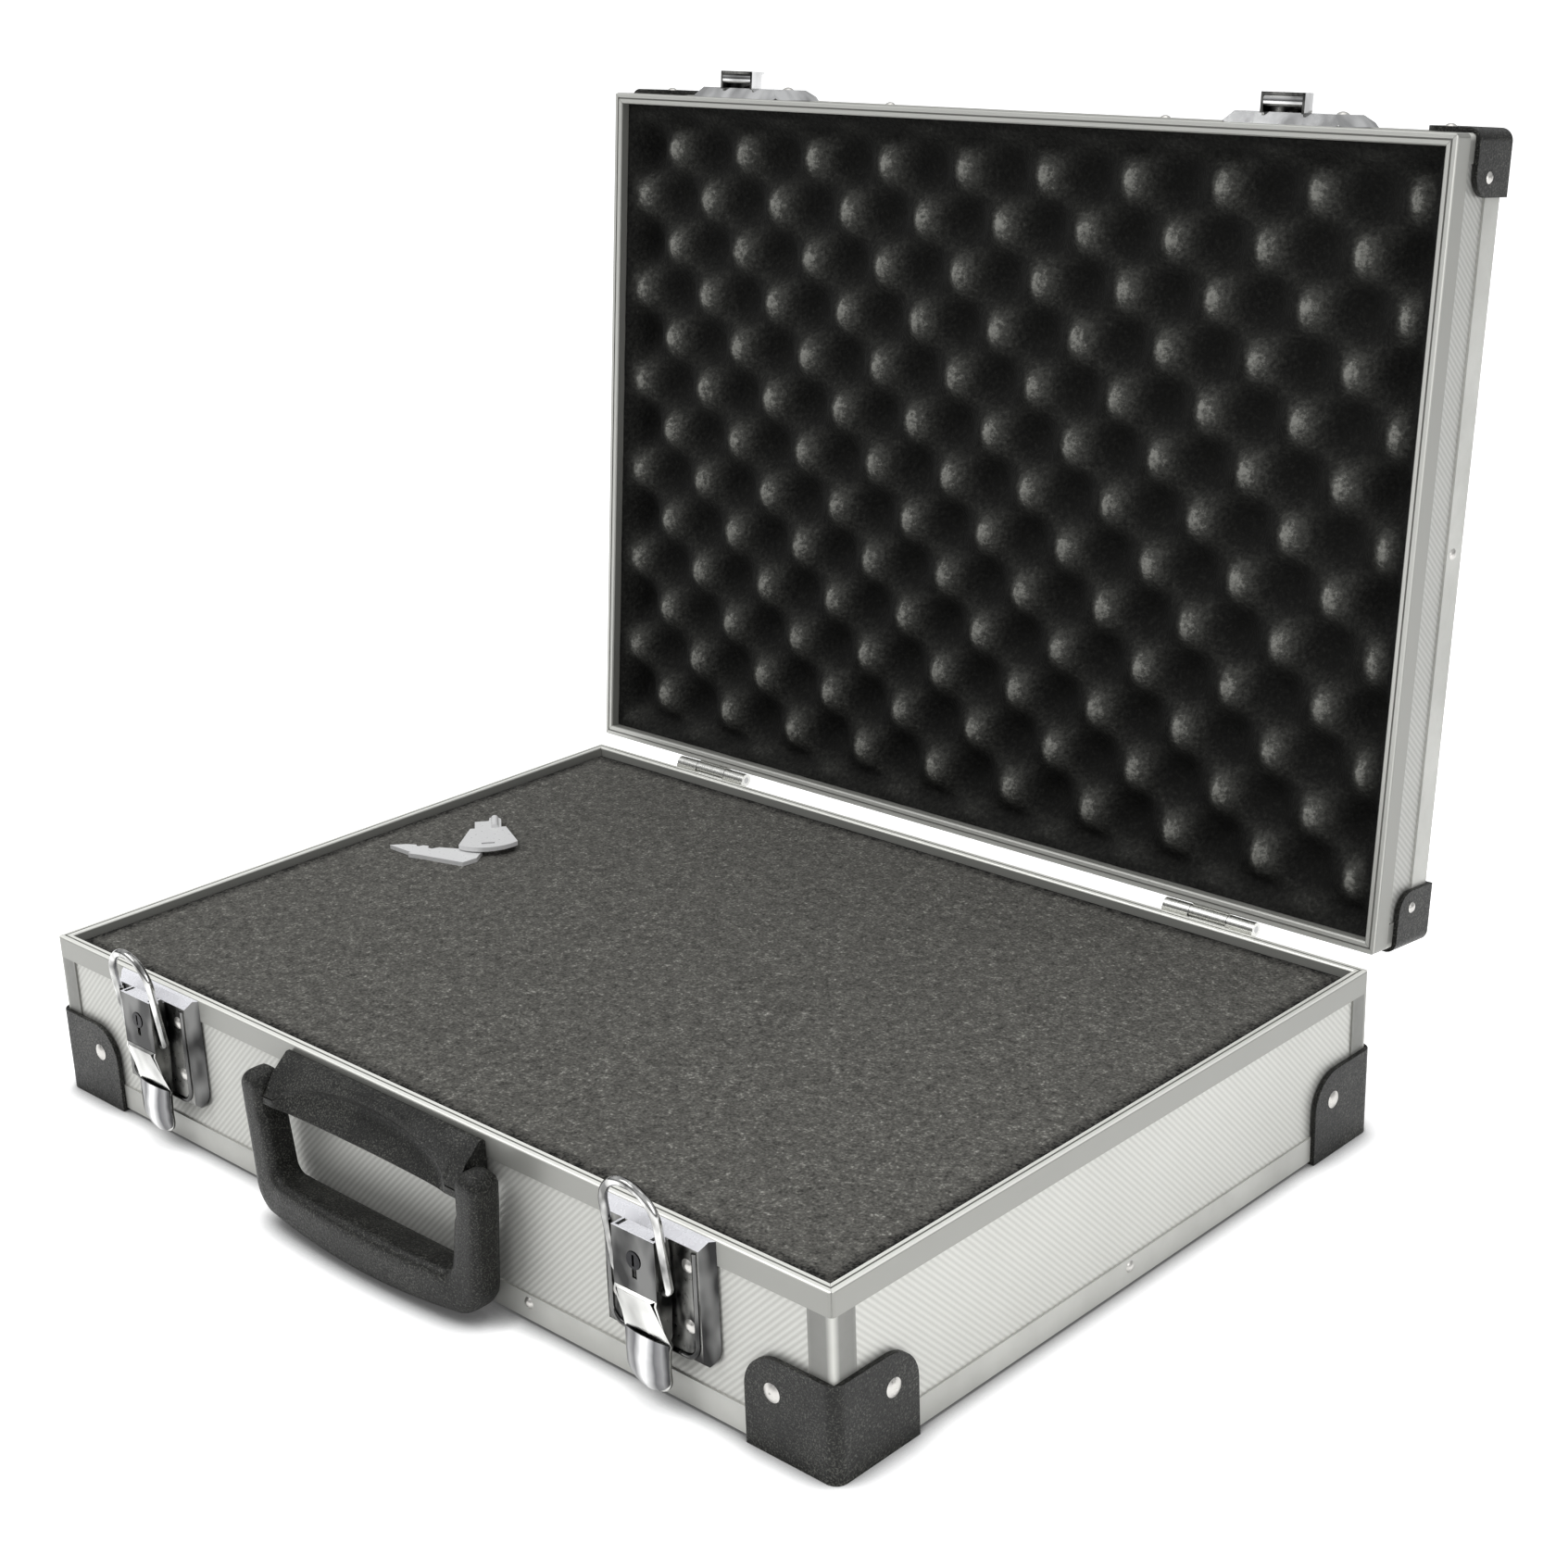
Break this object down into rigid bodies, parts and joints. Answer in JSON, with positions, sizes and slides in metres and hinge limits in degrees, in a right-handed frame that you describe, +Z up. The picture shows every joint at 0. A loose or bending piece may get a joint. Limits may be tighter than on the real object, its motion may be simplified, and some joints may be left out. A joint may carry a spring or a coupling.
{
  "type": "laptop hard case",
  "caption": "Riveted aluminium-look hard case for a laptop: foam-lined tray and hinged lid, draw latches with locks, hanging carry handle, corner protectors.",
  "frame": {"origin": "middle of the outline box seen from above, with the lid open, at the ground", "axes": "+X along the front to the viewer's right, +Y from the front towards the hinges, +Z up"},
  "size_m": [0.4562, 0.412, 0.4039],
  "materials": {
    "profile": "satin, brushed along its length",
    "panel": "satin metallic face with fine slanting ribs",
    "base_foam": "flat open-cell foam, charcoal with pale specks",
    "lid_foam": "egg-crate open-cell foam, near black",
    "protector": "black with a fine speckled grain",
    "rivet": "bright domed",
    "black_plastic": "fine grain",
    "steel": "plain",
    "hinge": "plated",
    "latch": "bright chrome",
    "lock": "dark chrome",
    "key": "bright nickel"
  },
  "bodies": {
    "base": {"base_rim_frame": "profile", "base_corner_posts": "profile", "base_bottom_rails": "profile", "base_front_panel": "panel", "base_back_panel": "panel", "base_left_panel": "panel", "base_right_panel": "panel", "base_bottom_panel": "panel", "base_foam": "base_foam", "base_protector_front_left": "protector", "base_protector_front_right": "protector", "base_protector_back_left": "protector", "base_protector_back_right": "protector", "base_protector_rivets": "rivet", "base_rail_rivets": "rivet", "handle_bracket": "black_plastic", "handle_screws": "steel", "handle_pivots": "steel", "latch_plate_left": "latch", "latch_plate_right": "latch", "latch_plate_rivets": "rivet", "latch_lever_pins": "steel", "hinge_base_leaf_left": "hinge", "hinge_base_leaf_right": "hinge", "hinge_pins": "steel", "hinge_base_rivets": "rivet", "key_lower": "key", "key_upper": "key"},
    "lid": {"lid_rim_frame": "profile", "lid_corner_posts": "profile", "lid_top_rails": "profile", "lid_front_panel": "panel", "lid_back_panel": "panel", "lid_left_panel": "panel", "lid_right_panel": "panel", "lid_top_panel": "panel", "lid_foam": "lid_foam", "lid_protector_front_left": "protector", "lid_protector_front_right": "protector", "lid_protector_back_left": "protector", "lid_protector_back_right": "protector", "lid_protector_rivets": "rivet", "lid_rail_rivets": "rivet", "hinge_lid_leaf_left": "hinge", "hinge_lid_leaf_right": "hinge", "hinge_lid_rivets": "rivet", "strike_left": "latch", "strike_right": "latch", "strike_rivets": "rivet"},
    "handle": {"handle_grip": "black_plastic"},
    "lever_left": {"latch_lever_left": "latch"},
    "lever_right": {"latch_lever_right": "latch"},
    "bail_left": {"latch_bail_left": "latch"},
    "bail_right": {"latch_bail_right": "latch"},
    "lock_left": {"lock_cylinder_left": "lock"},
    "lock_right": {"lock_cylinder_right": "lock"}
  },
  "joints": [
    {"name": "lid_hinge", "type": "hinge", "parent": "base", "child": "lid", "pos_m": [0, 0.13707, 0.0722], "axis": [1, 0, 0], "range_deg": [0, 95.7]},
    {"name": "handle_swing", "type": "hinge", "parent": "base", "child": "handle", "pos_m": [0, -0.19528, 0.057], "axis": [-1, 0, 0], "range_deg": [0, 95]},
    {"name": "lever_left_lift", "type": "hinge", "parent": "base", "child": "lever_left", "pos_m": [-0.147, -0.19353, 0.0658], "axis": [-1, 0, 0], "range_deg": [0, 65]},
    {"name": "bail_left_swing", "type": "hinge", "parent": "lever_left", "child": "bail_left", "pos_m": [-0.147, -0.19333, 0.0495], "axis": [1, 0, 0], "range_deg": [-9, 160]},
    {"name": "lock_left_turn", "type": "hinge", "parent": "lever_left", "child": "lock_left", "pos_m": [-0.147, -0.19353, 0.059], "axis": [0, -1, 0], "range_deg": [0, 90]},
    {"name": "lever_right_lift", "type": "hinge", "parent": "base", "child": "lever_right", "pos_m": [0.147, -0.19353, 0.0658], "axis": [-1, 0, 0], "range_deg": [0, 65]},
    {"name": "bail_right_swing", "type": "hinge", "parent": "lever_right", "child": "bail_right", "pos_m": [0.147, -0.19333, 0.0495], "axis": [1, 0, 0], "range_deg": [-9, 160]},
    {"name": "lock_right_turn", "type": "hinge", "parent": "lever_right", "child": "lock_right", "pos_m": [0.147, -0.19353, 0.059], "axis": [0, -1, 0], "range_deg": [0, 90]}
  ]
}
